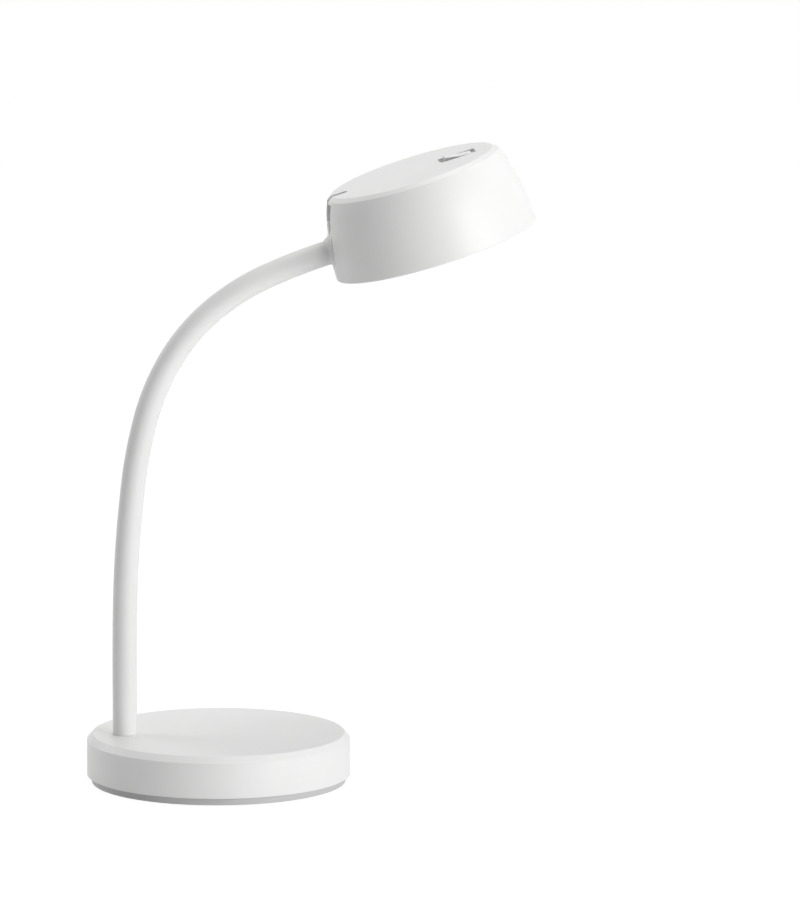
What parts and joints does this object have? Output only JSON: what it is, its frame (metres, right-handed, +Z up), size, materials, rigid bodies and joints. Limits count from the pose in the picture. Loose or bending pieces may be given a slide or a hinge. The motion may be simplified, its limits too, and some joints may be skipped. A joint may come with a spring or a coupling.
{
  "type": "desk lamp",
  "caption": "Desk lamp with a round weighted base, a bendable sleeved arm and a tilting drum head with a rocker switch.",
  "frame": {"origin": "centre of the base's underside, on the surface it stands on", "axes": "+X to the front, where the head hangs; +Y to the lamp's left; +Z up"},
  "size_m": [0.2215, 0.13, 0.3148],
  "materials": {
    "white_plastic": "white ABS, fine satin texture",
    "grey_plastic": "light grey ABS, fine matt texture",
    "pad_rubber": "dark grey rubber pad",
    "weight_iron": "grey cast iron, as cast",
    "steel": "zinc-plated steel",
    "core_steel": "bright drawn steel",
    "sleeve_rubber": "white silicone rubber, matt",
    "lead_jacket": "black soft PVC",
    "wire_jacket": "red soft PVC",
    "board": "green glass-fibre circuit board",
    "white_board": "white solder mask",
    "nylon": "natural nylon",
    "black_plastic": "black moulded plastic",
    "brass": "tinned brass",
    "aluminium": "plain aluminium sheet",
    "clear_plastic": "clear acrylic",
    "white_film": "white reflecting film",
    "opal_plastic": "opal polycarbonate, frosted",
    "rocker_plastic": "white ABS top moulded over a grey ABS body",
    "led_yellow": "phosphor-coated diode"
  },
  "bodies": {
    "base": {"base_shell": "white_plastic", "base_plate": "grey_plastic", "foot_pad": "pad_rubber", "base_weight": "weight_iron", "weight_screws": "steel", "plate_screws": "steel", "root_ferrule": "steel", "anchor_plate": "steel", "anchor_screws": "steel", "root_washer": "steel", "root_nut": "steel", "power_board": "board", "power_socket": "steel", "socket_core": "black_plastic", "board_screws": "steel", "lead_plug": "nylon", "gooseneck_1": "core_steel", "arm_sleeve": "sleeve_rubber", "lamp_lead": "lead_jacket"},
    "arm_2": {"gooseneck_2": "core_steel"},
    "arm_3": {"gooseneck_3": "core_steel"},
    "arm_4": {"gooseneck_4": "core_steel"},
    "arm_5": {"gooseneck_5": "core_steel"},
    "arm_6": {"gooseneck_6": "core_steel"},
    "arm_7": {"gooseneck_7": "core_steel"},
    "arm_8": {"gooseneck_8": "core_steel"},
    "neck": {"gooseneck_9": "core_steel", "end_ferrule": "steel", "ferrule_screws": "steel", "neck_knuckle": "white_plastic"},
    "head": {"friction_washers": "nylon", "hinge_bracket": "steel", "hinge_bolt": "steel", "hinge_nut": "steel", "bracket_screws": "steel", "head_shell": "white_plastic", "light_pan": "aluminium", "pan_screws": "steel", "led_ring": "white_board", "led_chips": "led_yellow", "light_guide": "clear_plastic", "reflector_sheet": "white_film", "diffuser": "opal_plastic", "bezel_ring": "white_plastic", "driver_board": "board", "driver_parts": "black_plastic", "driver_screws": "steel", "switch_housing": "white_plastic", "switch_screws": "steel", "switch_terminals": "brass", "switch_leads": "wire_jacket", "led_lead": "wire_jacket"},
    "rocker": {"switch_rocker": "rocker_plastic"}
  },
  "joints": [
    {"name": "arm_bend", "type": "hinge", "parent": "base", "child": "arm_2", "pos_m": [-0.04635, 0, 0.05617], "axis": [0, 1, 0], "range_deg": [-18, 18], "deforming": ["arm_sleeve", "lamp_lead"]},
    {"name": "arm_sway", "type": "hinge", "parent": "arm_2", "child": "arm_3", "pos_m": [-0.04602, 0, 0.08783], "axis": [-0.9998, 0, 0.0209], "range_deg": [-12, 12], "deforming": ["arm_sleeve", "lamp_lead"]},
    {"name": "arm_bend_2", "type": "hinge", "parent": "arm_3", "child": "arm_4", "pos_m": [-0.04453, 0, 0.11946], "axis": [0, 1, 0], "range_deg": [-18, 18]},
    {"name": "arm_sway_2", "type": "hinge", "parent": "arm_4", "child": "arm_5", "pos_m": [-0.04141, 0, 0.15097], "axis": [-0.9923, 0, 0.1236], "range_deg": [-12, 12]},
    {"name": "arm_bend_3", "type": "hinge", "parent": "arm_5", "child": "arm_6", "pos_m": [-0.03524, 0, 0.182], "axis": [0, 1, 0], "range_deg": [-18, 18]},
    {"name": "arm_sway_3", "type": "hinge", "parent": "arm_6", "child": "arm_7", "pos_m": [-0.02275, 0, 0.21099], "axis": [-0.8554, 0, 0.518], "range_deg": [-12, 12]},
    {"name": "arm_bend_4", "type": "hinge", "parent": "arm_7", "child": "arm_8", "pos_m": [-0.00216, 0, 0.23485], "axis": [0, 1, 0], "range_deg": [-18, 18]},
    {"name": "arm_sway_4", "type": "hinge", "parent": "arm_8", "child": "neck", "pos_m": [0.02471, 0, 0.25141], "axis": [-0.4019, 0, 0.9157], "range_deg": [-12, 12]},
    {"name": "head_tilt", "type": "hinge", "parent": "neck", "child": "head", "pos_m": [0.07708, 0, 0.26958], "axis": [0, -1, 0], "range_deg": [0, 36], "deforming": ["lamp_lead"]},
    {"name": "switch_tip", "type": "hinge", "parent": "head", "child": "rocker", "pos_m": [0.119, 0, 0.30651], "axis": [0, -1, 0], "range_deg": [0, 14]}
  ],
  "couplings": [
    {"joint": "arm_bend_2", "follows": "arm_bend", "ratio": 1},
    {"joint": "arm_sway_2", "follows": "arm_sway", "ratio": 1},
    {"joint": "arm_bend_3", "follows": "arm_bend", "ratio": 1},
    {"joint": "arm_sway_3", "follows": "arm_sway", "ratio": 1},
    {"joint": "arm_bend_4", "follows": "arm_bend", "ratio": 1},
    {"joint": "arm_sway_4", "follows": "arm_sway", "ratio": 1}
  ]
}
